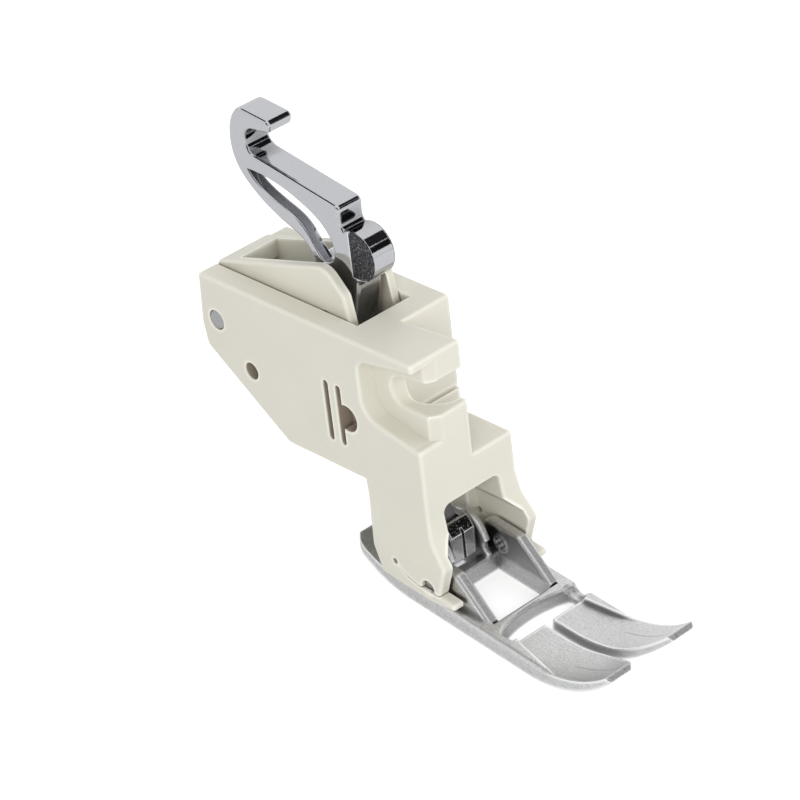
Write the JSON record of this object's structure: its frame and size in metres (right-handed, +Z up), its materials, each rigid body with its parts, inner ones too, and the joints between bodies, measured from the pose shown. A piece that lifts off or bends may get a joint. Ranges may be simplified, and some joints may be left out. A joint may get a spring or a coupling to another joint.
{
  "type": "sewing machine presser foot",
  "caption": "Presser foot with a hinged split-toe sole, a moulded shank with side screw notch, and a hooked lever that drives an upper feed shoe.",
  "frame": {"origin": "middle of the bounding box on the underside of the sole; the hinge axis of the sole lies 6.32 mm in front of it and 4.6 mm above it", "axes": "+X to the operator's right, +Y to the rear of the machine, +Z up; the toes point to -Y"},
  "size_m": [0.0176, 0.0774, 0.0587],
  "materials": {
    "holder_plastic": "satin moulded",
    "lever_plastic": "satin moulded",
    "link_chrome": "polished plating",
    "shoe_chrome": "polished plating with tumbling marks",
    "sole_metal": "satin plated die casting",
    "arm_steel": "dull",
    "pin_steel": "turned",
    "washer_steel": "blanked",
    "spring_steel": "drawn wire"
  },
  "bodies": {
    "holder": {"holder_body": "holder_plastic", "lever_pivot_pin": "pin_steel", "lever_spring": "spring_steel"},
    "lever": {"feed_lever": "lever_plastic", "link_pivot_pin": "pin_steel", "link_washer_left": "washer_steel", "link_washer_right": "washer_steel"},
    "feed": {"hook_link": "link_chrome", "feed_arm": "arm_steel", "arm_rivet": "pin_steel", "feed_shoe": "shoe_chrome", "shoe_pin": "pin_steel"},
    "sole": {"sole_plate": "sole_metal", "hinge_pin_left": "pin_steel", "hinge_pin_right": "pin_steel"}
  },
  "joints": [
    {"name": "sole_tilt", "type": "hinge", "parent": "holder", "child": "sole", "pos_m": [0, -0.00632, 0.0046], "axis": [-1, 0, 0], "range_deg": [0, 8]},
    {"name": "lever_swing", "type": "hinge", "parent": "holder", "child": "lever", "pos_m": [0, 0.03518, 0.02751], "axis": [1, 0, 0], "range_deg": [0, 4], "stiffness_Nm_per_rad": 0.05, "springref_deg": -5.73, "deforming": ["lever_spring"]},
    {"name": "feed_swing", "type": "hinge", "parent": "lever", "child": "feed", "pos_m": [0, 0.01656, 0.03504], "axis": [1, 0, 0], "range_deg": [0, 3.5]}
  ]
}
